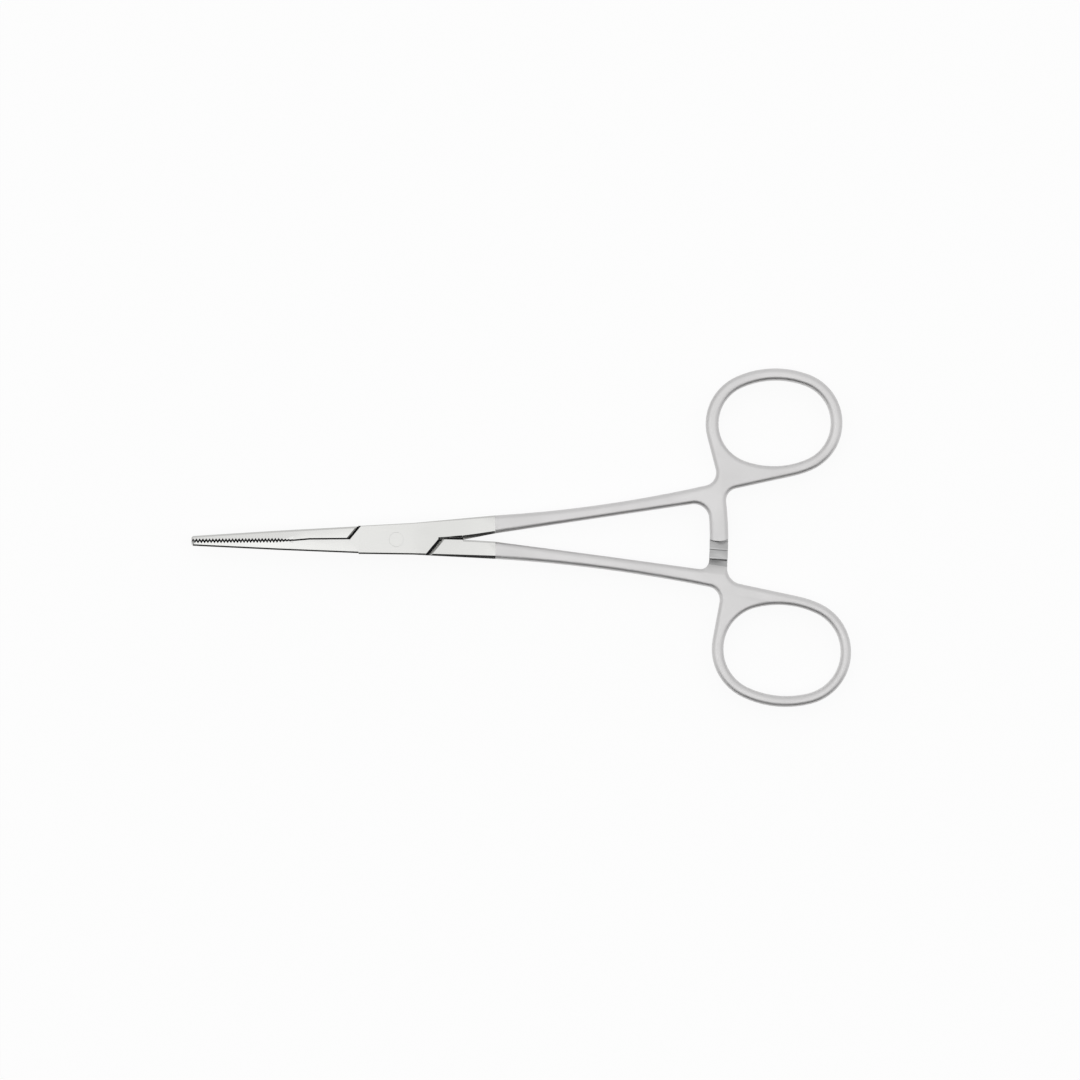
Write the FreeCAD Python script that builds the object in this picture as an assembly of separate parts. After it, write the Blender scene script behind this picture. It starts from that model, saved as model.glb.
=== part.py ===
import FreeCAD, Part
import math
import os

from FreeCAD import Vector

# Straight haemostatic forceps, lying closed and flat.
# Millimetres. The pivot axis is the Z axis, the underside of the box is z = 0,
# the jaws point to -X and the finger rings to +X.
# Edge distances are measured from the long axis, the line y = 0 through the pivot.

# Lengths along the instrument, from the pivot axis
JAW_REACH = 43.5
JAW_MIDDLE = 25.0
BOX_FRONT = 8.0
BOX_FLAT_END = 3.6
POLISH_END = 21.0
SHANK_WAIST = 46.3
ARM_RADIUS = 68.5

# Thicknesses
BOX_THICKNESS = 5.0
TIP_THICKNESS = 2.0
HANDLE_THICKNESS = 3.8

# Jaws, outer edge distances
JAW_TIP_EDGE = 1.05
JAW_MIDDLE_EDGE = 2.06
JAW_ROOT_EDGE = 2.86
TIP_CHAMFER = 0.30

# Jaws, how far their faces fall from the meeting line to the outer edge
JAW_TIP_CROWN = 0.09
JAW_MIDDLE_CROWN = 0.15

# Box, outer edge distances
BOX_UPPER_FRONT_EDGE = 2.95
BOX_LOWER_FRONT_EDGE = 3.02
BOX_UPPER_REAR_EDGE = 3.49
BOX_LOWER_REAR_EDGE = 3.26

# Jaw teeth and the line where the jaws meet
TEETH_LENGTH = 21.7
TOOTH_PITCH = 0.70
TOOTH_HEIGHT = 0.50
FADING_TEETH = 4
JAW_GAP = 0.05
MEET_RISE = 0.27
MEET_RISE_LENGTH = 3.4

# Box joint
GROOVE_ANGLE = 50.0
FRONT_GROOVE_X = 9.95
REAR_GROOVE_X = 9.25
FRONT_GROOVE_WIDTH = 0.42
REAR_GROOVE_WIDTH = 0.55
FRONT_SHOULDER_BEVEL = 0.30
REAR_SHOULDER_BEVEL = 0.55
SLOT_ANGLE = 22.0
SLOT_FRONT = 8.45
SLOT_REAR = 8.75
SLOT_END_CLEARANCE = 0.08
TONGUE_THICKNESS = 2.24
TONGUE_CLEARANCE = 0.03
PIN_DIAMETER = 3.0
PIN_CLEARANCE = 0.03

# Crotch, where the two shanks part behind the box
CROTCH_X = 14.2
CROTCH_DROP = 0.14
CROTCH_GAP = 0.06
CROTCH_FRONT_BEVEL = 0.40
CROTCH_BEVEL = 0.86
CROTCH_REAR_BEVEL = 0.55

# Upper shank: distance of its centre line from the axis, and its width
UPPER_START_CENTRE = 3.05
UPPER_START_WIDTH = 3.82
UPPER_WAIST_CENTRE = 6.09
UPPER_WAIST_WIDTH = 2.74
UPPER_END_CENTRE = 9.92
UPPER_END_WIDTH = 3.85

# Lower shank, the same sizes
LOWER_START_CENTRE = 2.45
LOWER_START_WIDTH = 3.66
LOWER_WAIST_CENTRE = 5.55
LOWER_WAIST_WIDTH = 2.85
LOWER_END_CENTRE = 9.35
LOWER_END_WIDTH = 3.74

# Finger rings: shift of the hole towards the ring's far end
HOLE_SHIFT = 0.15

# Upper finger ring, an oval of four arcs round its hole. The radius of the
# end arcs is less than half the hole's width by the inset.
UPPER_RING_PAST_ARM = 11.85
UPPER_RING_OUT = 24.10
UPPER_HOLE_LENGTH = 23.9
UPPER_HOLE_WIDTH = 18.2
UPPER_HOLE_END_INSET = 0.70
UPPER_RING_TILT = 1.2
UPPER_RING_WALL = 2.55

# Lower finger ring, the same sizes
LOWER_RING_PAST_ARM = 13.08
LOWER_RING_OUT = 24.15
LOWER_HOLE_LENGTH = 25.0
LOWER_HOLE_WIDTH = 19.3
LOWER_HOLE_END_INSET = 0.60
LOWER_RING_TILT = 6.0
LOWER_RING_WALL = 2.28

# Webs that join ring, shank and arm
SHANK_END_PAST_ARM = 1.0
UPPER_WEB_PAST_ARM = 0.28
LOWER_WEB_PAST_ARM = 0.69
WEB_FOOT_DEPTH = 0.80
WEB_FOOT_DROP = 0.15
OUTER_CORNER_RADIUS = 2.8
UPPER_INNER_CORNER_RADIUS = 3.2
LOWER_INNER_CORNER_RADIUS = 1.8
UPPER_ARM_CORNER_RADIUS = 2.6
LOWER_ARM_CORNER_RADIUS = 3.4

# Ratchet arms
ARM_WIDTH = 3.9
ARM_GAP = 0.10
UPPER_ARM_END = -0.80
LOWER_ARM_END = -0.44
ARM_END_BULGE = 0.45
RATCHET_FIRST = 1.20
RATCHET_PITCH = 1.95
RATCHET_HEIGHT = 0.36
RATCHET_TEETH = 3
RATCHET_TILT = 5.0
RATCHET_RAMP_END = 7.6

# Edges: the polished chamfers, which fall by this share of their width, and the
# flat between the rounded edges of the lower finger ring
POLISHED_CHAMFER = 0.34
UPPER_BOX_CHAMFER = 0.14
LOWER_END_CHAMFER = 0.70
CHAMFER_FALL = 0.68
RING_FLAT = 0.28

# Sections that shape the slope from the box down to the shanks
SLOPE_STEPS = 5

# Worked out
MIDDLE_Z = BOX_THICKNESS / 2
HANDLE_LOW = MIDDLE_Z - HANDLE_THICKNESS / 2
SLOT_THICKNESS = TONGUE_THICKNESS + 2 * TONGUE_CLEARANCE
PIN_RADIUS = PIN_DIAMETER / 2
HANDLE_EDGE_RADIUS = (LOWER_RING_WALL - RING_FLAT) / 2
SHANK_END = ARM_RADIUS + SHANK_END_PAST_ARM
ARM_INNER = ARM_RADIUS - ARM_WIDTH / 2
ARM_OUTER = ARM_RADIUS + ARM_WIDTH / 2
FAR = 2 * JAW_REACH
TALL = 2 * BOX_THICKNESS


# Small helpers

def prism(points, z_low, z_high):
    """Upright prism over a closed outline of (x, y) points."""
    corners = [Vector(x, y, z_low) for x, y in points]
    corners.append(corners[0])
    face = Part.Face(Part.makePolygon(corners))
    return face.extrude(Vector(0, 0, z_high - z_low))


def full_prism(points):
    """Upright prism that reaches above and below everything."""
    return prism(points, MIDDLE_Z - TALL, MIDDLE_Z + TALL)


def layer_prism(points, thickness):
    """Upright prism of this thickness, centred on the middle plane."""
    return prism(points, MIDDLE_Z - thickness / 2, MIDDLE_Z + thickness / 2)


def one_solid(shape):
    """The one solid of a shape, with faces that continue each other joined."""
    return shape.removeSplitter().Solids[0]


def run_out(share):
    """Step from 0 to 1 that starts steep and ends level, as a wheel grinds it."""
    return 1 - (1 - share) ** 2


# The closed instrument's polished front, before it is divided into two halves

def thickness_at(x):
    """Thickness of the polished front at a place along the instrument."""
    if x < -BOX_FRONT:
        share = (x + JAW_REACH) / (JAW_REACH - BOX_FRONT)
        return TIP_THICKNESS + (BOX_THICKNESS - TIP_THICKNESS) * share
    if x < BOX_FLAT_END:
        return BOX_THICKNESS
    share = (x - BOX_FLAT_END) / (POLISH_END - BOX_FLAT_END)
    return BOX_THICKNESS + (HANDLE_THICKNESS - BOX_THICKNESS) * run_out(share)


def between(start, end, share):
    """Value that lies this share of the way from start to end."""
    return start + (end - start) * share


def section(x, edges, widths, thickness, crown=0.0, ridge=0.0):
    """Chamfered section across the long axis, level or falling from a ridge.

    Its edge distances and chamfer widths are given for the lower edge first.
    """
    half = thickness / 2
    lower, upper = edges
    lower_width, upper_width = widths
    half_outline = [
        (upper, half - crown - CHAMFER_FALL * upper_width),
        (upper - upper_width, half - crown),
        (ridge, half),
        (-lower + lower_width, half - crown),
        (-lower, half - crown - CHAMFER_FALL * lower_width),
    ]
    outline = half_outline + [(y, -z) for y, z in reversed(half_outline)]
    corners = [Vector(x, y, MIDDLE_Z + z) for y, z in outline]
    corners.append(corners[0])
    return Part.makePolygon(corners)


def front_envelope(side):
    """Jaws, box and the polished starts of the shanks as one body.

    The ridge of the crowned jaws lies beyond the teeth of the half on this
    side, 1 for the box half and -1 for the tongue half.
    """
    ridge = side * TOOTH_HEIGHT
    tip_edge = JAW_TIP_EDGE - TIP_CHAMFER
    tip_thickness = TIP_THICKNESS - 2 * TIP_CHAMFER
    behind_tip = -JAW_REACH + TIP_CHAMFER
    jaw_sections = []
    for x, edge, thickness, crown in (
        (-JAW_REACH, tip_edge, tip_thickness, JAW_TIP_CROWN),
        (behind_tip, JAW_TIP_EDGE, thickness_at(behind_tip), JAW_TIP_CROWN),
        (-JAW_MIDDLE, JAW_MIDDLE_EDGE, thickness_at(-JAW_MIDDLE), JAW_MIDDLE_CROWN),
        (-BOX_FRONT, JAW_ROOT_EDGE, BOX_THICKNESS, 0.0),
    ):
        edges = (edge, edge)
        widths = (POLISHED_CHAMFER, POLISHED_CHAMFER)
        jaw_sections.append(section(x, edges, widths, thickness, crown, ridge))
    jaws = Part.makeLoft(jaw_sections, True, True)

    front_edges = (BOX_LOWER_FRONT_EDGE, BOX_UPPER_FRONT_EDGE)
    rear_edges = (BOX_LOWER_REAR_EDGE, BOX_UPPER_REAR_EDGE)
    box_widths = (POLISHED_CHAMFER, UPPER_BOX_CHAMFER)
    box_sections = [
        section(-BOX_FRONT, front_edges, box_widths, BOX_THICKNESS),
        section(BOX_FLAT_END, rear_edges, box_widths, BOX_THICKNESS),
    ]
    box = Part.makeLoft(box_sections, True, True)

    lower_end = LOWER_START_CENTRE + LOWER_START_WIDTH / 2
    upper_end = UPPER_START_CENTRE + UPPER_START_WIDTH / 2
    slope_sections = []
    for step in range(SLOPE_STEPS + 1):
        share = step / SLOPE_STEPS
        x = between(BOX_FLAT_END, POLISH_END, share)
        edges = (
            between(BOX_LOWER_REAR_EDGE, lower_end, share),
            between(BOX_UPPER_REAR_EDGE, upper_end, share),
        )
        widths = (
            between(POLISHED_CHAMFER, LOWER_END_CHAMFER, share),
            between(UPPER_BOX_CHAMFER, POLISHED_CHAMFER, share),
        )
        slope_sections.append(section(x, edges, widths, thickness_at(x)))
    slope = Part.makeLoft(slope_sections, True, False)
    return one_solid(jaws.fuse([box, slope]))


# The lines that divide the front. side is 1 for the box half's face of a gap
# and -1 for the tongue half's face, so every gap has one named width.

def meeting_line(side):
    """Top of the lower jaw (side 1) or underside of the upper jaw (side -1)."""
    shift = -side * JAW_GAP / 2
    count = round(TEETH_LENGTH / TOOTH_PITCH)
    points = [(-FAR, shift), (-JAW_REACH - TOOTH_PITCH / 2, shift)]
    for tooth in range(count):
        valley = -JAW_REACH + tooth * TOOTH_PITCH
        reach = TOOTH_HEIGHT / 2 * min(1, (count - tooth) / (FADING_TEETH + 1))
        points.append((valley, shift - reach))
        points.append((valley + TOOTH_PITCH / 2, shift + reach))
    teeth_end = -JAW_REACH + count * TOOTH_PITCH
    points.append((teeth_end, shift))
    points.append((teeth_end + MEET_RISE_LENGTH, shift + MEET_RISE))
    return points


def groove_corner(groove_x, groove_width, offset, y_line, shift):
    """Where a groove's edge meets the line it starts from."""
    angle = math.radians(GROOVE_ANGLE)
    x = groove_x + offset * groove_width / 2 / math.sin(angle) + shift / math.tan(angle)
    return (x, y_line + shift)


def groove_far_end(corner, y):
    """The point of the groove's edge at a distance y from the axis."""
    slope = math.tan(math.radians(GROOVE_ANGLE))
    return (corner[0] + (y - corner[1]) / slope, y)


def slot_wall_x(distance, y):
    """Place of a slot end wall, at this distance from the pivot axis."""
    angle = math.radians(SLOT_ANGLE)
    return (distance - y * math.sin(angle)) / math.cos(angle)


def front_corner(side):
    shift = -side * JAW_GAP / 2
    return groove_corner(-FRONT_GROOVE_X, FRONT_GROOVE_WIDTH, side, MEET_RISE, shift)


def rear_corner(side):
    shift = side * CROTCH_GAP / 2
    return groove_corner(REAR_GROOVE_X, REAR_GROOVE_WIDTH, -side, 0.0, shift)


def crotch_line(side):
    """Inner wall of a shank behind the groove, as far as the polish goes."""
    touch = (CROTCH_X, -CROTCH_DROP + side * CROTCH_GAP / 2)
    if side > 0:
        end = UPPER_START_CENTRE - UPPER_START_WIDTH / 2
    else:
        end = -(LOWER_START_CENTRE - LOWER_START_WIDTH / 2)
    return [touch, (POLISH_END, end)]


def jaw_outline(side):
    """Plan of the upper jaw in front of the box plates."""
    corner = front_corner(side)
    return meeting_line(side) + [corner, groove_far_end(corner, FAR), (-FAR, FAR)]


def shank_outline(side):
    """Plan of the lower shank behind the box plates."""
    corner = rear_corner(side)
    line = [groove_far_end(corner, -FAR), corner] + crotch_line(side)
    end = line[-1][1]
    return line + [(FAR, end), (FAR, -FAR)]


def tongue_outline(side):
    """Plan of the tongue half at the height of the slot."""
    ease = (1 - side) / 2 * SLOT_END_CLEARANCE
    front_y = MEET_RISE - side * JAW_GAP / 2
    rear_y = side * CROTCH_GAP / 2
    line = meeting_line(side)
    line.append((slot_wall_x(ease - SLOT_FRONT, front_y), front_y))
    line.append((slot_wall_x(ease - SLOT_FRONT, -FAR), -FAR))
    line.append((FAR, -FAR))
    line.append((FAR, crotch_line(side)[-1][1]))
    line += reversed(crotch_line(side))
    line.append((slot_wall_x(SLOT_REAR - ease, rear_y), rear_y))
    line.append((slot_wall_x(SLOT_REAR - ease, FAR), FAR))
    line.append((-FAR, FAR))
    return line


def bevel(solid, start, end, widths, fall, ahead):
    """Bevel the top and bottom edges of a straight upright wall.

    The material lies to the left of the run from start to end. The bevel has
    these widths at both ends, falls by this share of its width, and runs on
    past both ends by the length ahead.
    """
    reach = TALL
    inward = Vector(start[1] - end[1], end[0] - start[0], 0)
    inward.normalize()
    first = Vector(start[0], start[1], 0) + inward * widths[0]
    along = Vector(end[0], end[1], 0) + inward * widths[1] - first
    stretch = 2 * ahead / along.Length
    rise = (thickness_at(end[0]) - thickness_at(start[0])) / 2
    for side in (1, -1):
        out = Vector(0, 0, side)
        run = along + out * rise
        edge_z = MIDDLE_Z + side * thickness_at(start[0]) / 2
        edge = first + Vector(0, 0, edge_z) - run * (stretch / 2)
        across = edge + inward * reach + out * (fall * reach)
        down = edge - inward * reach - out * (fall * reach)
        outside = edge - inward * reach + out * (fall * reach)
        wedge = Part.Face(Part.makePolygon([outside, across, down, outside]))
        solid = solid.cut(wedge.extrude(run * (1 + stretch)))
    return solid


# Finger rings, shanks and ratchet arms. Both handles are built above the axis,
# and the lower one is then turned over about the long axis.

class HandleSizes:
    """Sizes that differ between the two handles."""

    def __init__(self, shank, ring_centre, hole, tilt, wall, web, corners, arm_end, teeth_tilt):
        self.shank = shank
        self.ring_centre = ring_centre
        self.hole = hole
        self.tilt = tilt
        self.wall = wall
        self.web_past_arm = web
        self.inner_corner_radius, self.arm_corner_radius = corners
        self.arm_end = arm_end
        self.teeth_tilt = teeth_tilt

    def shank_centre_at(self, x):
        """Distance of the shank's centre line from the axis, behind the waist."""
        waist, end = self.shank[1][0], self.shank[2][0]
        return waist + (end - waist) * (x - SHANK_WAIST) / (SHANK_END - SHANK_WAIST)

    def shank_edge(self, side):
        """Points of the shank's outer (side 1) or inner (side -1) edge."""
        places = (POLISH_END, SHANK_WAIST, SHANK_END)
        return [
            Vector(x, centre + side * width / 2, HANDLE_LOW)
            for x, (centre, width) in zip(places, self.shank)
        ]


UPPER = HandleSizes(
    shank=(
        (UPPER_START_CENTRE, UPPER_START_WIDTH),
        (UPPER_WAIST_CENTRE, UPPER_WAIST_WIDTH),
        (UPPER_END_CENTRE, UPPER_END_WIDTH),
    ),
    ring_centre=(ARM_RADIUS + UPPER_RING_PAST_ARM, UPPER_RING_OUT),
    hole=(UPPER_HOLE_LENGTH / 2, UPPER_HOLE_WIDTH / 2, UPPER_HOLE_END_INSET),
    tilt=UPPER_RING_TILT,
    wall=UPPER_RING_WALL,
    web=UPPER_WEB_PAST_ARM,
    corners=(UPPER_INNER_CORNER_RADIUS, UPPER_ARM_CORNER_RADIUS),
    arm_end=UPPER_ARM_END,
    teeth_tilt=-RATCHET_TILT,
)

LOWER = HandleSizes(
    shank=(
        (LOWER_START_CENTRE, LOWER_START_WIDTH),
        (LOWER_WAIST_CENTRE, LOWER_WAIST_WIDTH),
        (LOWER_END_CENTRE, LOWER_END_WIDTH),
    ),
    ring_centre=(ARM_RADIUS + LOWER_RING_PAST_ARM, LOWER_RING_OUT),
    hole=(LOWER_HOLE_LENGTH / 2, LOWER_HOLE_WIDTH / 2, LOWER_HOLE_END_INSET),
    tilt=LOWER_RING_TILT,
    wall=LOWER_RING_WALL,
    web=LOWER_WEB_PAST_ARM,
    corners=(LOWER_INNER_CORNER_RADIUS, LOWER_ARM_CORNER_RADIUS),
    arm_end=LOWER_ARM_END,
    teeth_tilt=RATCHET_TILT,
)


class Oval:
    """Oval of two end arcs and two flatter side arcs, all tangent."""

    def __init__(self, centre, half_length, half_width, end_inset, tilt):
        self.centre = Vector(centre[0], centre[1], HANDLE_LOW)
        self.tilt = math.radians(tilt)
        self.end_radius = half_width - end_inset
        self.end_offset = half_length - self.end_radius
        side_rise = half_width ** 2 - self.end_radius ** 2 + self.end_offset ** 2
        self.side_radius = side_rise / (2 * end_inset)
        self.side_offset = self.side_radius - half_width

    def place(self, along, across):
        """Point at this distance along and across the oval's length."""
        x = along * math.cos(self.tilt) - across * math.sin(self.tilt)
        y = along * math.sin(self.tilt) + across * math.cos(self.tilt)
        return self.centre + Vector(x, y, 0)

    def join(self, end, side, grow):
        """Point where an end arc and a side arc meet, on the oval grown outward."""
        run = math.hypot(self.end_offset, self.side_offset)
        reach = self.end_radius + grow
        along = self.end_offset + reach * self.end_offset / run
        across = reach * self.side_offset / run
        return self.place(end * along, side * across)

    def wire(self, grow):
        """Closed outline of the oval, grown outward by this much."""
        length = self.end_offset + self.end_radius + grow
        width = self.side_radius - self.side_offset + grow
        right = Part.Arc(
            self.join(1, -1, grow), self.place(length, 0), self.join(1, 1, grow))
        top = Part.Arc(
            self.join(1, 1, grow), self.place(0, width), self.join(-1, 1, grow))
        left = Part.Arc(
            self.join(-1, 1, grow), self.place(-length, 0), self.join(-1, -1, grow))
        bottom = Part.Arc(
            self.join(-1, -1, grow), self.place(0, -width), self.join(1, -1, grow))
        return Part.Wire([arc.toShape() for arc in (right, top, left, bottom)])


def tangent_point(start, centre, radius, turn):
    """Where a straight edge from start touches a circle, on the side turn (1 or -1)."""
    back = start - centre
    angle = math.atan2(back.y, back.x) + turn * math.acos(radius / back.Length)
    return centre + Vector(math.cos(angle), math.sin(angle), 0) * radius


def handle_slab(wire):
    """A closed outline at the handle's underside, raised to its full thickness."""
    return Part.Face(wire).extrude(Vector(0, 0, HANDLE_THICKNESS))


def shank_slab(sizes):
    """Shank between its two curved edges."""
    edges = []
    for side in (1, -1):
        curve = Part.BSplineCurve()
        curve.interpolate(sizes.shank_edge(side))
        edges.append(curve.toShape())
    ends = [
        Part.makeLine(sizes.shank_edge(1)[place], sizes.shank_edge(-1)[place])
        for place in (0, -1)
    ]
    return handle_slab(Part.Wire(Part.sortEdges(edges + ends)[0]))


def web_slab(sizes, oval):
    """Straight-sided web from the shank's end to the ring."""
    outer_end = sizes.shank_edge(1)[-1]
    foot_outer = Vector(ARM_RADIUS + sizes.web_past_arm, outer_end.y - WEB_FOOT_DEPTH, HANDLE_LOW)
    foot_inner = Vector(SHANK_END, sizes.shank[-1][0] - WEB_FOOT_DROP, HANDLE_LOW)
    end_centre = oval.place(-oval.end_offset, 0)
    side_centre = oval.place(0, oval.side_offset)
    outer_touch = tangent_point(foot_outer, end_centre, oval.end_radius + sizes.wall, -1)
    inner_touch = tangent_point(foot_inner, side_centre, oval.side_radius + sizes.wall, 1)
    corners = [foot_outer, outer_touch, oval.centre, inner_touch, foot_inner]
    return handle_slab(Part.makePolygon(corners + [foot_outer]))


def arm_point(radius, y):
    """Point at this height on an arc about the pivot axis."""
    return Vector(math.sqrt(radius ** 2 - y ** 2), y, HANDLE_LOW)


def arm_slab(sizes):
    """Ratchet arm between two arcs about the pivot axis, longer than it ends up."""
    stock_end = sizes.arm_end - ARM_WIDTH
    inner_root = sizes.shank_centre_at(ARM_INNER)
    outer_root = sizes.shank_edge(1)[-1].y - WEB_FOOT_DEPTH
    ends = []
    edges = []
    for radius, root in ((ARM_INNER, inner_root), (ARM_OUTER, outer_root)):
        middle = (root + stock_end) / 2
        points = [arm_point(radius, y) for y in (stock_end, middle, root)]
        edges.append(Part.Arc(*points).toShape())
        ends.append((points[0], points[-1]))
    for inner, outer in zip(*ends):
        edges.append(Part.makeLine(inner, outer))
    return handle_slab(Part.Wire(Part.sortEdges(edges)[0]))


def arm_end_cutter(sizes):
    """What is cut off the stock to leave the arm's bulging end."""
    left = Vector(ARM_INNER - ARM_WIDTH, sizes.arm_end + ARM_END_BULGE, HANDLE_LOW)
    right = Vector(ARM_OUTER + ARM_WIDTH, left.y, HANDLE_LOW)
    inner = Vector(ARM_INNER, left.y, HANDLE_LOW)
    outer = Vector(ARM_OUTER, left.y, HANDLE_LOW)
    tip = Vector(ARM_RADIUS, sizes.arm_end, HANDLE_LOW)
    drop = Vector(0, -2 * ARM_WIDTH, 0)
    arc = Part.Arc(inner, tip, outer).toShape()
    border = Part.makePolygon([outer, right, right + drop, left + drop, left, inner])
    return handle_slab(Part.Wire(Part.sortEdges([arc] + border.Edges)[0]))


def upright_edge_near(shape, x, y):
    """The upright edge whose place in plan is nearest to a point."""
    def distance(edge):
        ends = edge.Vertexes
        return math.hypot(ends[0].X - x, ends[0].Y - y)

    upright = [
        edge for edge in shape.Edges
        if len(edge.Vertexes) == 2
        and abs(edge.Vertexes[0].Z - edge.Vertexes[1].Z) > HANDLE_THICKNESS / 2
    ]
    return min(upright, key=distance)


def is_rounded(edge, arm_end):
    """Whether an edge lies in a flat face of the handle and is rounded over."""
    slack = 0.01
    box = edge.BoundBox
    upright = box.ZLength > slack
    at_polish_end = box.XMax < POLISH_END + slack
    at_arm_end = box.YMax < arm_end
    return not upright and not at_polish_end and not at_arm_end


def ratchet_cutter(sizes):
    """What is ground away below a ratchet arm, with the teeth left standing."""
    crest = MIDDLE_Z + ARM_GAP / 2 - RATCHET_HEIGHT / 2
    root = crest + RATCHET_HEIGHT
    width = 2 * ARM_WIDTH
    left = ARM_RADIUS - width / 2
    slope = RATCHET_HEIGHT / RATCHET_FIRST
    start = sizes.arm_end - ARM_WIDTH
    points = [(start, -TALL), (start, root + slope * ARM_WIDTH)]
    for tooth in range(RATCHET_TEETH):
        y = sizes.arm_end + RATCHET_FIRST + tooth * RATCHET_PITCH
        points.append((y, crest))
        points.append((y, root))
    ramp_start = points[-1]
    ramp_end = (RATCHET_RAMP_END, HANDLE_LOW)
    beyond = tuple(2 * end - start for start, end in zip(ramp_start, ramp_end))
    points += [beyond, (beyond[0], -TALL)]
    corners = [Vector(left, y, z) for y, z in points]
    face = Part.Face(Part.makePolygon(corners + [corners[0]]))
    cutter = face.extrude(Vector(width, 0, 0))
    cutter.rotate(Vector(ARM_RADIUS, 0, 0), Vector(0, 0, 1), sizes.teeth_tilt)
    return cutter


def handle(sizes):
    """Shank, finger ring and ratchet arm, built above the axis."""
    oval = Oval(sizes.ring_centre, *sizes.hole, sizes.tilt)
    ring = handle_slab(oval.wire(sizes.wall))
    slabs = [web_slab(sizes, oval), arm_slab(sizes), ring]
    blank = one_solid(shank_slab(sizes).fuse(slabs))
    hole = handle_slab(oval.wire(0))
    hole.translate(Vector(HOLE_SHIFT, 0, 0))
    blank = blank.cut(hole)
    outer_end = sizes.shank_edge(1)[-1]
    inner_end = sizes.shank_edge(-1)[-1]
    corners = [
        (ARM_RADIUS + sizes.web_past_arm, outer_end.y, OUTER_CORNER_RADIUS),
        (ARM_INNER, inner_end.y, sizes.inner_corner_radius),
        (ARM_OUTER, sizes.shank[-1][0], sizes.arm_corner_radius),
    ]
    for x, y, radius in corners:
        blank = blank.makeFillet(radius, [upright_edge_near(blank, x, y)])
    rims = [edge for edge in blank.Edges if is_rounded(edge, sizes.arm_end)]
    blank = blank.makeFillet(HANDLE_EDGE_RADIUS, rims)
    return one_solid(blank.cut([ratchet_cutter(sizes), arm_end_cutter(sizes)]))


# The three pieces

def pin_bore(radius):
    """Round bore through the whole joint, on the pivot axis."""
    return Part.makeCylinder(radius, 2 * TALL, Vector(0, 0, MIDDLE_Z - TALL))


def make_box_half():
    """Lower jaw, box, upper shank, upper ring and upper ratchet arm."""
    front = front_envelope(1).cut(full_prism(jaw_outline(1)))
    front = front.cut(full_prism(shank_outline(1)))
    front = front.cut(layer_prism(tongue_outline(1), SLOT_THICKNESS))
    touch, end = crotch_line(1)
    front_widths = (CROTCH_FRONT_BEVEL, CROTCH_BEVEL)
    rear_widths = (CROTCH_BEVEL, CROTCH_REAR_BEVEL)
    front = bevel(front, rear_corner(1), touch, front_widths, CHAMFER_FALL, 0.0)
    front = bevel(front, touch, end, rear_widths, CHAMFER_FALL, 0.0)
    front = front.cut(pin_bore(PIN_RADIUS))
    return one_solid(front.fuse(handle(UPPER)))


def make_tongue_half():
    """Upper jaw, tongue, lower shank, lower ring and lower ratchet arm."""
    envelope = front_envelope(-1)
    jaw = envelope.common(full_prism(jaw_outline(-1)))
    corner = front_corner(-1)
    far_end = groove_far_end(corner, JAW_ROOT_EDGE)
    widths = (FRONT_SHOULDER_BEVEL, FRONT_SHOULDER_BEVEL)
    jaw = bevel(jaw, corner, far_end, widths, 1, BOX_FRONT)
    shank = envelope.common(full_prism(shank_outline(-1)))
    corner = rear_corner(-1)
    far_end = groove_far_end(corner, -BOX_LOWER_REAR_EDGE)
    widths = (REAR_SHOULDER_BEVEL, REAR_SHOULDER_BEVEL)
    shank = bevel(shank, corner, far_end, widths, 1, BOX_FRONT)
    touch, end = crotch_line(-1)
    widths = (POLISHED_CHAMFER, POLISHED_CHAMFER)
    shank = bevel(shank, end, touch, widths, CHAMFER_FALL, 0.0)
    tongue = envelope.common(layer_prism(tongue_outline(-1), TONGUE_THICKNESS))
    lower = handle(LOWER)
    lower.rotate(Vector(0, 0, MIDDLE_Z), Vector(1, 0, 0), 180)
    whole = tongue.fuse([jaw, shank, lower])
    return one_solid(whole.cut(pin_bore(PIN_RADIUS + PIN_CLEARANCE)))


def make_pivot_pin():
    """Pin, flush with both faces of the box."""
    return Part.makeCylinder(PIN_RADIUS, BOX_THICKNESS)


def main():
    pieces = {
        "box_half": make_box_half(),
        "tongue_half": make_tongue_half(),
        "pivot_pin": make_pivot_pin(),
    }
    os.makedirs("parts", exist_ok=True)
    for name, shape in pieces.items():
        shape.exportStep("parts/" + name + ".step")


main()
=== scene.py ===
import math

import bpy
from bpy.props import FloatProperty, FloatVectorProperty, PointerProperty
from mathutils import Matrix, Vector


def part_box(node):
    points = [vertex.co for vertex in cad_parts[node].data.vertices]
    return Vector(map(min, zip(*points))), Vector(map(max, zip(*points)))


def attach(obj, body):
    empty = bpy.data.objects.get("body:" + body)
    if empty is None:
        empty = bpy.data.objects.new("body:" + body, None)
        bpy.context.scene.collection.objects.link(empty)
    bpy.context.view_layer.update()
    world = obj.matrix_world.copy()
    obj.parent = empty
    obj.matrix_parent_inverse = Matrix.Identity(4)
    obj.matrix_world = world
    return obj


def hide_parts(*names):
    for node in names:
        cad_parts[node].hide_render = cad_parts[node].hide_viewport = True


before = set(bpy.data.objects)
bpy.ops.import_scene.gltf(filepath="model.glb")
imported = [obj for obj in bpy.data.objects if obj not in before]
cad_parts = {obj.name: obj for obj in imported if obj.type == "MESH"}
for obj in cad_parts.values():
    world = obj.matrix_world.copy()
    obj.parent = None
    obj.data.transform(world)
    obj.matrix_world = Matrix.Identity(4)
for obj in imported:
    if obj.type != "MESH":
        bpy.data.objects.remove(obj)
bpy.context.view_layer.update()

bl_info = {
    "name": "Haemostatic Forceps",
    "version": (1, 0, 0),
    "blender": (4, 5, 0),
    "location": "3D View > Sidebar > Forceps",
    "description": "Finishes both halves of the forceps and sets up a studio",
    "category": "Object",
}

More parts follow.
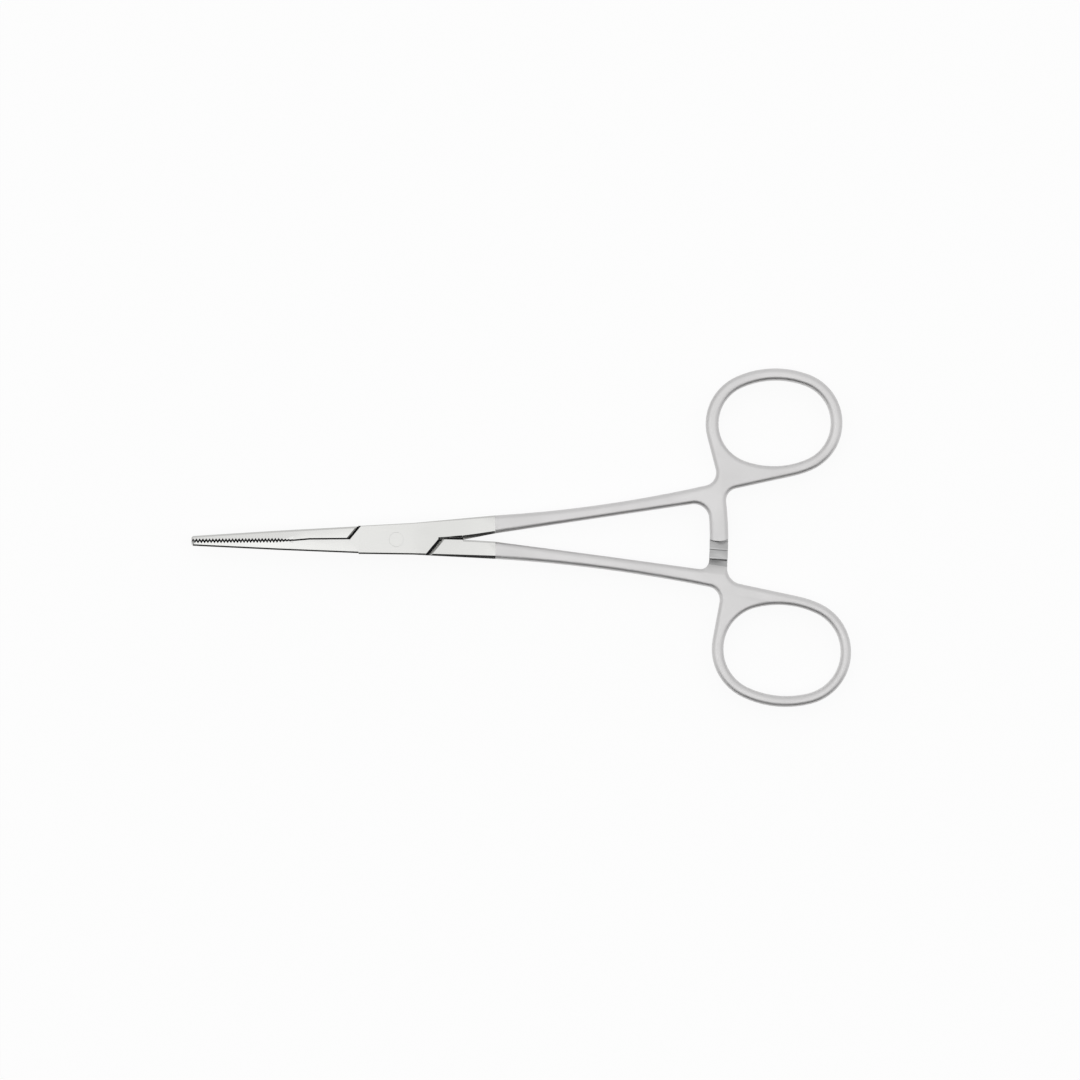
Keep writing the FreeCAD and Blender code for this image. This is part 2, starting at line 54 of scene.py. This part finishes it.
# Height of the plane halfway between both faces of the box
MIDDLE_HEIGHT = sum(corner.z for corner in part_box("pivot_pin")) / 2

MM = 0.001


def linear(hex_colour):
    """Turn an sRGB hex colour into linear red, green and blue."""
    channels = [int(hex_colour[place:place + 2], 16) / 255 for place in (1, 3, 5)]
    return tuple(
        channel / 12.92 if channel <= 0.04045 else ((channel + 0.055) / 1.055) ** 2.4
        for channel in channels
    )


# Sizes and colours

class ForcepsFinish(bpy.types.PropertyGroup):
    """How the steel is ground, polished and blasted."""

    polish_end: FloatProperty(
        name="Polish End",
        description="Where the polished front meets the satin handles, from the pivot",
        default=21.0 * MM, unit="LENGTH",
    )
    joint_end: FloatProperty(
        name="Joint End",
        description="How far the box joint reaches from the pivot",
        default=10.5 * MM, unit="LENGTH",
    )
    crotch_end: FloatProperty(
        name="Crotch End",
        description="How far behind the pivot the shanks still touch",
        default=14.5 * MM, unit="LENGTH",
    )
    jaw_gap: FloatProperty(
        name="Jaw Gap",
        description="How much of the clearance between the jaws is closed up",
        default=0.048 * MM, unit="LENGTH",
    )
    crotch_gap: FloatProperty(
        name="Crotch Gap",
        description="How much of the clearance between the shanks is closed up",
        default=0.056 * MM, unit="LENGTH",
    )
    edge_break: FloatProperty(
        name="Edge Break",
        description="Width of the small bevel that takes the burr off an edge",
        default=0.05 * MM, unit="LENGTH",
    )
    tooth_break: FloatProperty(
        name="Tooth Break",
        description="Width of the bevel along the line where the jaws meet",
        default=0.17 * MM, unit="LENGTH",
    )
    ratchet_break: FloatProperty(
        name="Ratchet Break",
        description="Width of the worn crests of the ratchet teeth",
        default=0.14 * MM, unit="LENGTH",
    )
    polish_line: FloatProperty(
        name="Polish Line",
        description="Spacing of the fine lines that the polishing leaves",
        default=0.12 * MM, unit="LENGTH",
    )
    blast_grain: FloatProperty(
        name="Blast Grain",
        description="Size of the dimples that the glass beads leave",
        default=0.16 * MM, unit="LENGTH",
    )
    polished_colour: FloatVectorProperty(
        name="Polished Steel",
        description="Reflected colour of the polished steel",
        default=linear("#CACAC8"), subtype="COLOR", size=3, min=0.0, max=1.0,
    )
    satin_colour: FloatVectorProperty(
        name="Satin Steel",
        description="Reflected colour of the bead blasted steel",
        default=linear("#D5D4D4"), subtype="COLOR", size=3, min=0.0, max=1.0,
    )
    ground_colour: FloatVectorProperty(
        name="Ground Steel",
        description="Reflected colour of the ground teeth of jaws and ratchet",
        default=linear("#B4B4B4"), subtype="COLOR", size=3, min=0.0, max=1.0,
    )
    # Partly painted shade: the cut faces are really duller, and this grey, darker than the
    # steel, stands in for the shade inside the joint
    milled_and_painted_shade_colour: FloatVectorProperty(
        name="Milled Steel And Painted Shade",
        description="Reflected colour of the dull faces inside the joint",
        default=linear("#8C8C8E"), subtype="COLOR", size=3, min=0.0, max=1.0,
    )
    # Painted shade: a near-black steel colour that stands in for the shade in the seams and
    # grooves of the joint
    painted_shade_colour: FloatVectorProperty(
        name="Painted Shade",
        description="Reflected colour of steel under old oil in seams and grooves",
        default=linear("#28282A"), subtype="COLOR", size=3, min=0.0, max=1.0,
    )
    groove_angle: FloatProperty(
        name="Groove Angle",
        description="Angle in plan between the long axis and the grooves of the joint",
        default=math.radians(50), subtype="ANGLE", unit="ROTATION",
    )
    # Painted shade: the tongue is fully darkened from this distance from the pivot
    # outwards, square to the grooves
    groove_distance: FloatProperty(
        name="Groove Distance",
        description="How near the grooves' oily edges come to the pivot, square to them",
        default=6.5 * MM, unit="LENGTH",
    )


class StudioSetup(bpy.types.PropertyGroup):
    """Floor, light and camera."""

    floor_side: FloatProperty(
        name="Floor Side",
        description="Length of each side of the square floor",
        default=12.0, unit="LENGTH",
    )
    floor_drop: FloatProperty(
        name="Floor Drop",
        description="Clearance that keeps the floor and the underside of the box apart",
        default=0.02 * MM, unit="LENGTH",
    )
    floor_colour: FloatVectorProperty(
        name="Floor Colour",
        description="Colour of the pale floor",
        default=linear("#FAFAFA"), subtype="COLOR", size=3, min=0.0, max=1.0,
    )
    camera_height: FloatProperty(
        name="Camera Height",
        description="Height of the camera over the forceps",
        default=1.2, unit="LENGTH",
    )
    view_width: FloatProperty(
        name="View Width",
        description="Width that the camera takes in at the forceps",
        default=229.4 * MM, unit="LENGTH",
    )
    view_centre: FloatVectorProperty(
        name="View Centre",
        description="Place on the forceps under the middle of the picture",
        default=(30.48 * MM, -0.32 * MM, 2.5 * MM), subtype="XYZ", unit="LENGTH", size=3,
    )
    view_roll: FloatProperty(
        name="View Roll",
        description="Turn of the camera about its line of sight",
        default=math.radians(-0.4), subtype="ANGLE", unit="ROTATION",
    )


# Materials

# How far from a groove the painted shade fades out on the tongue
PAINTED_SHADE_FADE = 0.8 * MM


def add_node(tree, kind, settings=None, **links):
    """Add a shader node, set its values and link its inputs.

    A setting goes to the input that it names or numbers, and otherwise to the node.
    A link goes to the input that it names. i0 is the first input, i1 the second.
    """
    node = tree.nodes.new(kind)
    for name, value in (settings or {}).items():
        if isinstance(name, int) or name in node.inputs:
            node.inputs[name].default_value = value
        else:
            setattr(node, name, value)
    for name, source in links.items():
        target = int(name[1:]) if name[1:].isdigit() else name
        tree.links.new(source, node.inputs[target])
    return node


def new_material(name):
    """Make a material with an empty node tree."""
    material = bpy.data.materials.new(name)
    material.use_nodes = True
    material.node_tree.nodes.clear()
    return material


def steel_surface(tree, colour, roughness, normal):
    """Close a metal's node tree with its shader and its output."""
    shader = add_node(
        tree, "ShaderNodeBsdfPrincipled",
        {"Metallic": 1.0, "Base Color": (*colour, 1.0)},
        Roughness=roughness, Normal=normal,
    )
    add_node(tree, "ShaderNodeOutputMaterial", Surface=shader.outputs["BSDF"])


def polished_steel(name, finish):
    """Martensitic stainless steel, ground and then polished on a felt wheel.

    The eye gets a clear soft reflection, drawn out by fine lines along the jaws.
    """
    material = new_material(name)
    tree = material.node_tree
    place = add_node(tree, "ShaderNodeTexCoord")
    line = 1 / finish.polish_line
    # The lines are 40 times as long as they are apart
    stretch = add_node(
        tree, "ShaderNodeMapping", {"Scale": (line / 40, line, line)},
        Vector=place.outputs["Object"])
    lines = add_node(
        tree, "ShaderNodeTexNoise", {"Scale": 1.0, "Detail": 2.0, "Roughness": 0.5},
        Vector=stretch.outputs["Vector"])
    # Where the wheel pressed harder, patches of about 6 mm are a little smoother
    patches = add_node(
        tree, "ShaderNodeTexNoise", {"Scale": 1 / (6 * MM), "Detail": 1.0},
        Vector=place.outputs["Object"])
    both = add_node(
        tree, "ShaderNodeMath", {"operation": "ADD"},
        i0=lines.outputs["Fac"], i1=patches.outputs["Fac"])
    roughness = add_node(
        tree, "ShaderNodeMapRange",
        {"From Min": 0.6, "From Max": 1.4, "To Min": 0.20, "To Max": 0.27},
        Value=both.outputs["Value"])
    relief = add_node(
        tree, "ShaderNodeBump", {"Strength": 0.25, "Distance": 0.002 * MM},
        Height=lines.outputs["Fac"])
    steel_surface(
        tree, finish.polished_colour, roughness.outputs["Result"], relief.outputs["Normal"])
    return material


def satin_steel(name, finish):
    """The same steel, blasted with glass beads for a satin grip that does not glare.

    The eye gets an even grey sheen with a very fine grain.
    """
    material = new_material(name)
    tree = material.node_tree
    place = add_node(tree, "ShaderNodeTexCoord")
    grain = add_node(
        tree, "ShaderNodeTexNoise",
        {"Scale": 1 / finish.blast_grain, "Detail": 2.0, "Roughness": 0.6},
        Vector=place.outputs["Object"])
    # Blasting by hand leaves clouds of about 8 mm
    clouds = add_node(
        tree, "ShaderNodeTexNoise", {"Scale": 1 / (8 * MM), "Detail": 2.0},
        Vector=place.outputs["Object"])
    roughness = add_node(
        tree, "ShaderNodeMapRange",
        {"From Min": 0.3, "From Max": 0.7, "To Min": 0.46, "To Max": 0.52},
        Value=clouds.outputs["Fac"])
    relief = add_node(
        tree, "ShaderNodeBump", {"Strength": 0.35, "Distance": 0.012 * MM},
        Height=grain.outputs["Fac"])
    steel_surface(
        tree, finish.satin_colour, roughness.outputs["Result"], relief.outputs["Normal"])
    return material


def ground_steel(name, finish):
    """The same steel, as the grinding wheel leaves the teeth of jaws and ratchet.

    The eye gets flat facets with fine lines.
    """
    material = new_material(name)
    tree = material.node_tree
    place = add_node(tree, "ShaderNodeTexCoord")
    line = 1 / finish.polish_line
    # The lines are 30 times as long as they are apart
    stretch = add_node(
        tree, "ShaderNodeMapping", {"Scale": (line / 30, line, line)},
        Vector=place.outputs["Object"])
    lines = add_node(
        tree, "ShaderNodeTexNoise", {"Scale": 1.0, "Detail": 3.0, "Roughness": 0.6},
        Vector=stretch.outputs["Vector"])
    roughness = add_node(
        tree, "ShaderNodeMapRange",
        {"From Min": 0.3, "From Max": 0.7, "To Min": 0.26, "To Max": 0.38},
        Value=lines.outputs["Fac"])
    relief = add_node(
        tree, "ShaderNodeBump", {"Strength": 0.4, "Distance": 0.006 * MM},
        Height=lines.outputs["Fac"])
    steel_surface(
        tree, finish.ground_colour, roughness.outputs["Result"], relief.outputs["Normal"])
    return material


def painted_shade_steel(name, finish):
    """Painted shade: the same steel with the cutter's marks, made nearly black to stand in
    for the shade in the narrow seam where the jaws meet.

    The eye gets the dark line where the jaws meet.
    """
    material = new_material(name)
    tree = material.node_tree
    place = add_node(tree, "ShaderNodeTexCoord")
    # The feed of the cutter leaves marks about 0.3 mm apart
    marks = add_node(
        tree, "ShaderNodeTexNoise", {"Scale": 1 / (0.3 * MM), "Detail": 2.0},
        Vector=place.outputs["Object"])
    roughness = add_node(
        tree, "ShaderNodeMapRange",
        {"From Min": 0.3, "From Max": 0.7, "To Min": 0.50, "To Max": 0.65},
        Value=marks.outputs["Fac"])
    relief = add_node(
        tree, "ShaderNodeBump", {"Strength": 0.3, "Distance": 0.01 * MM},
        Height=marks.outputs["Fac"])
    steel_surface(
        tree, finish.painted_shade_colour, roughness.outputs["Result"], relief.outputs["Normal"])
    return material


def milled_and_painted_shade_steel(name, finish):
    """The same steel with the cutter's marks, rubbed bright by the plates of the box, in a
    grey darker than the steel that is partly painted shade for the inside of the joint.

    The eye gets a dull grey tongue, which painted shade darkens towards the grooves.
    """
    material = painted_shade_steel(name, finish)
    tree = material.node_tree
    place = add_node(tree, "ShaderNodeTexCoord")
    square_to_groove = add_node(
        tree, "ShaderNodeVectorMath",
        {"operation": "DOT_PRODUCT",
         1: (math.sin(finish.groove_angle), -math.cos(finish.groove_angle), 0.0)},
        i0=place.outputs["Object"])
    distance = add_node(
        tree, "ShaderNodeMath", {"operation": "ABSOLUTE"},
        i0=square_to_groove.outputs["Value"])
    # Painted shade that darkens the tongue towards the grooves of the joint
    painted_groove_shade = add_node(
        tree, "ShaderNodeMapRange",
        {"From Min": finish.groove_distance - PAINTED_SHADE_FADE, "From Max": finish.groove_distance,
         "To Min": 0.0, "To Max": 1.0},
        Value=distance.outputs["Value"])
    colour = add_node(
        tree, "ShaderNodeMixRGB",
        {"Color1": (*finish.milled_and_painted_shade_colour, 1.0), "Color2": (*finish.painted_shade_colour, 1.0)},
        Fac=painted_groove_shade.outputs["Result"])
    shader = next(node for node in tree.nodes if node.type == "BSDF_PRINCIPLED")
    tree.links.new(colour.outputs["Color"], shader.inputs["Base Color"])
    return material


# Each finish with the name of its steel, in the order of a half's material slots
FINISHES = {
    "polished": ("polished_stainless_steel", polished_steel),
    "satin": ("bead_blasted_stainless_steel", satin_steel),
    "ground": ("ground_stainless_steel", ground_steel),
    "milled_and_painted_shade": ("milled_and_painted_shade_stainless_steel", milled_and_painted_shade_steel),
    # Painted shade for the seam between the jaws and the grooves of the joint
    "painted_shade": ("painted_shade_stainless_steel", painted_shade_steel),
}


def steel_materials(finish):
    """The finishes of the steel, made once and shared by the pieces."""
    return {
        kind: bpy.data.materials.get(name) or maker(name, finish)
        for kind, (name, maker) in FINISHES.items()
    }


# The two halves

# Corners of triangles that lie nearer than this are one corner
MERGE_DISTANCE = 0.004 * MM

# Joint: half the height of the slot with a little to spare, how far from the long
# axis a half's outer sides begin, and how squarely they face sideways
SLOT_REACH = 1.2 * MM
OUTER_SIDE = 2.4 * MM
SIDEWAYS = 0.9

# Crotch: its start and end in lengths of the joint, its half width, and how nearly
# upright its walls are
CROTCH_START = 0.85
CROTCH_STOP = 1.5
CROTCH_REACH = 1 * MM
CROTCH_WALL = 0.3

# Seam between the jaws: how far inside the joint's end it starts, its half width, how
# level a face of the top or underside is, how nearly upright a tooth's wall is, and how
# the tip's own faces lie
SEAM_START = 1.2 * MM
SEAM_REACH = 0.55 * MM
SEAM_TILT = 0.97
SEAM_WALL = 0.2
TIP_AHEAD = 0.6
TIP_SIDEWAYS = 0.2

# Ratchet: where its arms lie along and across the long axis, how far from the middle
# height the ground faces reach, and how little they face along the long axis
ARM_START = 66 * MM
ARM_STOP = 71 * MM
ARM_REACH = 7.5 * MM
ARM_DEPTH = 0.75 * MM
ARM_TILT = 0.5

# Bevels: the slope past which an edge is upright, the play at the end of the polish,
# how far the crests of the ratchet reach up and sideways, and how far inside the
# joint's end the line between the jaws starts and how wide its half is
UPRIGHT_EDGE = 0.8
POLISH_PLAY = 0.05 * MM
CREST_DEPTH = 0.18 * MM
CREST_REACH = 5.5 * MM
TOOTH_START = 1 * MM
TOOTH_REACH = 0.45 * MM

# The walls that are brought together start this far along the joint
GAP_START = 0.8

# Faces that meet at less than the first angle are merged, edges sharper than the second
# get a bevel, and the rounds are shaded smoothly up to the third
FLAT_ANGLE = math.radians(0.25)
SHARP_ANGLE = math.radians(24)
SMOOTH_ANGLE = math.radians(40)


def use_only(piece):
    """Make a piece the only one that operators act on."""
    bpy.ops.object.select_all(action="DESELECT")
    piece.select_set(True)
    bpy.context.view_layer.objects.active = piece


def copy_of_node(node, name):
    """Copy a node's mesh into a new piece, with its triangles joined."""
    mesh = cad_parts[node].data.copy()
    mesh.name = name
    mesh.materials.clear()
    piece = bpy.data.objects.new(name, mesh)
    bpy.context.scene.collection.objects.link(piece)
    use_only(piece)
    bpy.ops.object.mode_set(mode="EDIT")
    bpy.ops.mesh.select_all(action="SELECT")
    bpy.ops.mesh.remove_doubles(threshold=MERGE_DISTANCE)
    bpy.ops.mesh.customdata_custom_splitnormals_clear()
    bpy.ops.object.mode_set(mode="OBJECT")
    return piece


def is_inside_joint(face, finish):
    """Whether a face lies in the slot of the box, on the tongue or round the pin."""
    near_pivot = abs(face.center.x) < finish.joint_end
    outside = abs(face.normal.y) > SIDEWAYS and abs(face.center.y) > OUTER_SIDE
    inner = abs(face.center.z - MIDDLE_HEIGHT) < SLOT_REACH
    return near_pivot and inner and not outside


def is_in_crotch(face, finish):
    """Whether a face is an upright wall of the gap where the shanks part."""
    start, stop = CROTCH_START * finish.joint_end, CROTCH_STOP * finish.joint_end
    inner = start < face.center.x < stop and abs(face.center.y) < CROTCH_REACH
    return inner and abs(face.normal.z) < CROTCH_WALL


def is_between_jaws(face, finish):
    """Whether a face is a wall or a bevel of the line where the jaws meet."""
    ahead = face.center.x < -finish.joint_end + SEAM_START
    on_tip = face.normal.x < -TIP_AHEAD and abs(face.normal.y) < TIP_SIDEWAYS
    steep = abs(face.normal.z) < SEAM_TILT
    return ahead and steep and not on_tip and abs(face.center.y) < SEAM_REACH


def is_ratchet(face):
    """Whether a face is ground into a ratchet arm."""
    on_arm = ARM_START < face.center.x < ARM_STOP and abs(face.center.y) < ARM_REACH
    inner = abs(face.center.z - MIDDLE_HEIGHT) < ARM_DEPTH
    return on_arm and inner and abs(face.normal.x) < ARM_TILT


def finish_of(face, finish):
    """Name of the finish that a face gets by where it lies."""
    if face.center.x > finish.polish_end:
        return "ground" if is_ratchet(face) else "satin"
    if is_between_jaws(face, finish):
        # The bevels of the seam get the near-black painted shade, and its upright tooth
        # walls get ground steel
        return "ground" if abs(face.normal.z) < SEAM_WALL else "painted_shade"
    if is_inside_joint(face, finish) or is_in_crotch(face, finish):
        # Faces inside the joint and in the crotch get the cut finish, whose darker grey is
        # partly painted shade
        return "milled_and_painted_shade"
    return "polished"


def sort_faces(piece, finish):
    """Give each face of a half its finish."""
    slots = list(FINISHES)
    for face in piece.data.polygons:
        face.material_index = slots.index(finish_of(face, finish))


def edge_bevel(first, second, finish):
    """Width of the bevel on a sharp edge between two points."""
    middle = (first + second) / 2
    upright = abs(first.z - second.z) > UPRIGHT_EDGE * (first - second).length
    if middle.x > finish.polish_end - POLISH_PLAY:
        depth = abs(middle.z - MIDDLE_HEIGHT)
        on_crest = depth < CREST_DEPTH and abs(middle.y) < CREST_REACH
        return finish.ratchet_break if on_crest and not upright else 0.0
    if middle.x < -finish.joint_end + TOOTH_START and abs(middle.y) < TOOTH_REACH:
        return 0.0 if upright else finish.tooth_break
    return finish.edge_break


def close_gaps(piece, side, finish):
    """Bring the walls of the closed joint so near each other that no light passes.

    side is 1 for the half whose jaw lies below the meeting line and -1 for the other.
    Behind the joint the halves lie the other way round.
    """
    for vertex in piece.data.vertices:
        place = vertex.co
        if abs(place.y) > TOOTH_REACH:
            continue
        if place.x < -GAP_START * finish.joint_end:
            place.y += side * finish.jaw_gap / 2
        elif GAP_START * finish.joint_end < place.x < finish.crotch_end:
            place.y -= side * finish.crotch_gap / 2


def break_edges(piece, finish):
    """Take the burr off the sharp edges with small bevels."""
    bpy.ops.object.mode_set(mode="EDIT")
    bpy.ops.mesh.select_all(action="SELECT")
    bpy.ops.mesh.dissolve_limited(angle_limit=FLAT_ANGLE, delimit={"MATERIAL"})
    bpy.ops.mesh.select_all(action="DESELECT")
    bpy.ops.mesh.select_mode(type="EDGE")
    bpy.ops.mesh.edges_select_sharp(sharpness=SHARP_ANGLE)
    bpy.ops.object.mode_set(mode="OBJECT")
    mesh = piece.data
    weights = mesh.attributes.new("bevel_weight_edge", "FLOAT", "EDGE")
    for edge in mesh.edges:
        if not edge.select:
            continue
        first, second = (mesh.vertices[place].co for place in edge.vertices)
        width = edge_bevel(first, second, finish)
        weights.data[edge.index].value = width / finish.tooth_break
    bevel = piece.modifiers.new("Edge break", "BEVEL")
    bevel.limit_method = "WEIGHT"
    bevel.width = finish.tooth_break
    bevel.segments = 2
    bevel.use_clamp_overlap = False
    bevel.loop_slide = False
    bevel.miter_outer = "MITER_ARC"
    bpy.ops.object.modifier_apply(modifier=bevel.name)


def smooth_shading(piece, finish):
    """Shade the rounds smoothly and keep the polished flats flat."""
    bpy.ops.object.shade_smooth_by_angle(angle=SMOOTH_ANGLE)
    front = piece.vertex_groups.new(name="polished front")
    front.add(
        [vertex.index for vertex in piece.data.vertices if vertex.co.x < finish.polish_end],
        1.0, "REPLACE")
    weighted = piece.modifiers.new("Flat faces", "WEIGHTED_NORMAL")
    weighted.vertex_group = front.name
    weighted.mode = "FACE_AREA"
    weighted.weight = 100
    weighted.keep_sharp = True
    bpy.ops.object.modifier_apply(modifier=weighted.name)


def finish_half(node, name, body, side, finish):
    """Make the finished piece for one half of the forceps."""
    piece = copy_of_node(node, name)
    close_gaps(piece, side, finish)
    for material in steel_materials(finish).values():
        piece.data.materials.append(material)
    sort_faces(piece, finish)
    break_edges(piece, finish)
    sort_faces(piece, finish)
    smooth_shading(piece, finish)
    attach(piece, body)
    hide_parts(node)


class FORCEPS_OT_box_half(bpy.types.Operator):
    """Finish the half with the box, the lower jaw and the upper finger ring"""

    bl_idname = "forceps.box_half"
    bl_label = "Box Half"
    bl_options = {"REGISTER", "UNDO"}

    def execute(self, context):
        finish = context.scene.forceps_finish
        finish_half("box_half", "finished_box_half", "box_side", 1, finish)
        return {"FINISHED"}


class FORCEPS_OT_tongue_half(bpy.types.Operator):
    """Finish the half with the tongue, the upper jaw and the lower finger ring"""

    bl_idname = "forceps.tongue_half"
    bl_label = "Tongue Half"
    bl_options = {"REGISTER", "UNDO"}

    def execute(self, context):
        finish = context.scene.forceps_finish
        finish_half("tongue_half", "finished_tongue_half", "tongue_side", -1, finish)
        return {"FINISHED"}


class FORCEPS_OT_pivot_pin(bpy.types.Operator):
    """Polish the pivot pin together with the faces of the box"""

    bl_idname = "forceps.pivot_pin"
    bl_label = "Pivot Pin"
    bl_options = {"REGISTER", "UNDO"}

    def execute(self, context):
        finish = context.scene.forceps_finish
        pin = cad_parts["pivot_pin"]
        pin.data.materials.clear()
        pin.data.materials.append(steel_materials(finish)["polished"])
        return {"FINISHED"}


# The studio

# Brightness of the dome from the near side (0) to the far side (1)
DOME_LEVELS = (
    (0.00, 0.03), (0.14, 0.03), (0.24, 0.44), (0.32, 1.12), (0.38, 1.66),
    (0.44, 1.52), (0.50, 1.36), (0.57, 1.12), (0.68, 0.96), (1.00, 0.92),
)

# Light lost overhead from the jaws to the rings, how closely it keeps to the top, and
# light lost towards both ends
DOME_DRIFT = 0.6
DOME_DRIFT_POWER = 8.0
DOME_FADE = 0.40

# Share of plain white in the floor, where the eye sees it directly or mirrored
FLOOR_WHITE = 0.9

# Width of the camera's film in mm, and the nearest and furthest that it sees in m
FILM_WIDTH = 36.0
NEAR_END = 0.01
FAR_END = 20.0


def make_floor(studio):
    """Lay a pale floor under the forceps, closed to light from below."""
    bpy.ops.object.select_all(action="DESELECT")
    bpy.ops.mesh.primitive_plane_add(
        size=studio.floor_side, location=(0, 0, -studio.floor_drop))
    floor = bpy.context.object
    floor.name = "studio_floor"
    material = new_material("matt_paper")
    tree = material.node_tree
    place = add_node(tree, "ShaderNodeTexCoord")
    # Its fibres are drawn about 0.6 mm wide, coarser than real ones, to show at all
    fibres = add_node(
        tree, "ShaderNodeTexNoise", {"Scale": 1 / (0.6 * MM), "Detail": 2.0},
        Vector=place.outputs["Object"])
    relief = add_node(
        tree, "ShaderNodeBump", {"Strength": 0.1, "Distance": 0.02 * MM},
        Height=fibres.outputs["Fac"])
    shader = add_node(
        tree, "ShaderNodeBsdfPrincipled",
        {"Base Color": (*studio.floor_colour, 1.0), "Roughness": 0.95,
         "Specular IOR Level": 0.1},
        Normal=relief.outputs["Normal"])
    # The white of the picture's background. The rest of it is the paper's own
    # light and shade, so the shadow of the forceps stays.
    glow = add_node(tree, "ShaderNodeEmission", {"Strength": 1.0})
    path = add_node(tree, "ShaderNodeLightPath")
    seen = add_node(
        tree, "ShaderNodeMath", {"operation": "MAXIMUM"},
        i0=path.outputs["Is Camera Ray"], i1=path.outputs["Is Glossy Ray"])
    seen_through = add_node(
        tree, "ShaderNodeMath", {"operation": "MAXIMUM"},
        i0=seen.outputs["Value"], i1=path.outputs["Is Transmission Ray"])
    share = add_node(
        tree, "ShaderNodeMath", {"operation": "MULTIPLY", 1: FLOOR_WHITE},
        i0=seen_through.outputs["Value"])
    white = add_node(
        tree, "ShaderNodeMixShader",
        i0=share.outputs["Value"], i1=shader.outputs["BSDF"], i2=glow.outputs["Emission"])
    # From below, the paper is left out, so the underside can be looked at
    side = add_node(tree, "ShaderNodeNewGeometry")
    clear = add_node(tree, "ShaderNodeBsdfTransparent")
    paper = add_node(
        tree, "ShaderNodeMixShader",
        i0=side.outputs["Backfacing"], i1=white.outputs["Shader"], i2=clear.outputs["BSDF"])
    add_node(tree, "ShaderNodeOutputMaterial", Surface=paper.outputs["Shader"])
    floor.data.materials.append(material)


def make_sky():
    """Light the studio from a soft dome, brightest overhead and dark on the near side."""
    world = bpy.data.worlds.new("Studio dome")
    bpy.context.scene.world = world
    world.use_nodes = True
    tree = world.node_tree
    tree.nodes.clear()
    place = add_node(tree, "ShaderNodeTexCoord")
    split = add_node(tree, "ShaderNodeSeparateXYZ", Vector=place.outputs["Generated"])
    # From the near side, which stays dark, over the bright top to the far side
    depth = add_node(
        tree, "ShaderNodeMapRange",
        {"From Min": -1.0, "From Max": 1.0, "To Min": 0.0, "To Max": 1.0},
        Value=split.outputs["Y"])
    ramp = add_node(tree, "ShaderNodeValToRGB", Fac=depth.outputs["Result"])
    band = ramp.color_ramp
    while len(band.elements) < len(DOME_LEVELS):
        band.elements.new(0.5)
    for element, (position, value) in zip(band.elements, DOME_LEVELS):
        element.position = position
        element.color = (value, value, value, 1.0)
    # A little darker overhead towards the rings, and towards both ends
    drift = add_node(
        tree, "ShaderNodeMath", {"operation": "MULTIPLY", 1: DOME_DRIFT},
        i0=split.outputs["X"])
    overhead = add_node(
        tree, "ShaderNodeMath", {"operation": "POWER", 1: DOME_DRIFT_POWER},
        i0=split.outputs["Z"])
    across = add_node(
        tree, "ShaderNodeMath", {"operation": "MULTIPLY"},
        i0=overhead.outputs["Value"], i1=drift.outputs["Value"])
    sides = add_node(
        tree, "ShaderNodeMath", {"operation": "MULTIPLY"},
        i0=split.outputs["X"], i1=split.outputs["X"])
    fade = add_node(
        tree, "ShaderNodeMapRange",
        {"From Min": 0.0, "From Max": 1.0, "To Min": 0.0, "To Max": DOME_FADE},
        Value=sides.outputs["Value"])
    loss = add_node(
        tree, "ShaderNodeMath", {"operation": "ADD"},
        i0=across.outputs["Value"], i1=fade.outputs["Result"])
    kept = add_node(
        tree, "ShaderNodeMath", {"operation": "SUBTRACT", 0: 1.0},
        i1=loss.outputs["Value"])
    background = add_node(
        tree, "ShaderNodeBackground",
        Color=ramp.outputs["Color"], Strength=kept.outputs["Value"])
    add_node(tree, "ShaderNodeOutputWorld", Surface=background.outputs["Background"])


def make_camera(studio):
    """Hang the camera straight over the forceps with a long lens."""
    centre = Vector(studio.view_centre)
    bpy.ops.object.camera_add(location=centre + Vector((0, 0, studio.camera_height)))
    camera = bpy.context.object
    camera.name = "studio_camera"
    camera.rotation_euler = (0.0, 0.0, studio.view_roll)
    camera.data.sensor_width = FILM_WIDTH
    camera.data.lens = FILM_WIDTH * studio.camera_height / studio.view_width
    camera.data.clip_start = NEAR_END
    camera.data.clip_end = FAR_END
    bpy.context.scene.camera = camera


class FORCEPS_OT_studio(bpy.types.Operator):
    """Set up the floor, the light and the camera"""

    bl_idname = "forceps.studio"
    bl_label = "Studio"
    bl_options = {"REGISTER", "UNDO"}

    def execute(self, context):
        studio = context.scene.forceps_studio
        make_floor(studio)
        make_sky()
        make_camera(studio)
        context.scene.view_settings.view_transform = "Standard"
        return {"FINISHED"}


class FORCEPS_PT_panel(bpy.types.Panel):
    """Lists the pieces of the forceps with their sizes and colours"""

    bl_idname = "FORCEPS_PT_panel"
    bl_label = "Haemostatic Forceps"
    bl_space_type = "VIEW_3D"
    bl_region_type = "UI"
    bl_category = "Forceps"

    def draw(self, context):
        column = self.layout.column(align=True)
        for operator in OPERATORS:
            column.operator(operator.bl_idname)
        for group in (context.scene.forceps_finish, context.scene.forceps_studio):
            box = self.layout.box()
            for name in group.bl_rna.properties.keys():
                if name not in ("rna_type", "name"):
                    box.prop(group, name)


OPERATORS = (
    FORCEPS_OT_box_half,
    FORCEPS_OT_tongue_half,
    FORCEPS_OT_pivot_pin,
    FORCEPS_OT_studio,
)

CLASSES = (ForcepsFinish, StudioSetup, *OPERATORS, FORCEPS_PT_panel)


def register():
    for cls in CLASSES:
        bpy.utils.register_class(cls)
    bpy.types.Scene.forceps_finish = PointerProperty(type=ForcepsFinish)
    bpy.types.Scene.forceps_studio = PointerProperty(type=StudioSetup)


def unregister():
    del bpy.types.Scene.forceps_studio
    del bpy.types.Scene.forceps_finish
    for cls in reversed(CLASSES):
        bpy.utils.unregister_class(cls)


def main():
    register()
    bpy.ops.forceps.box_half()
    bpy.ops.forceps.tongue_half()
    bpy.ops.forceps.pivot_pin()
    bpy.ops.forceps.studio()


if __name__ == "__main__":
    main()
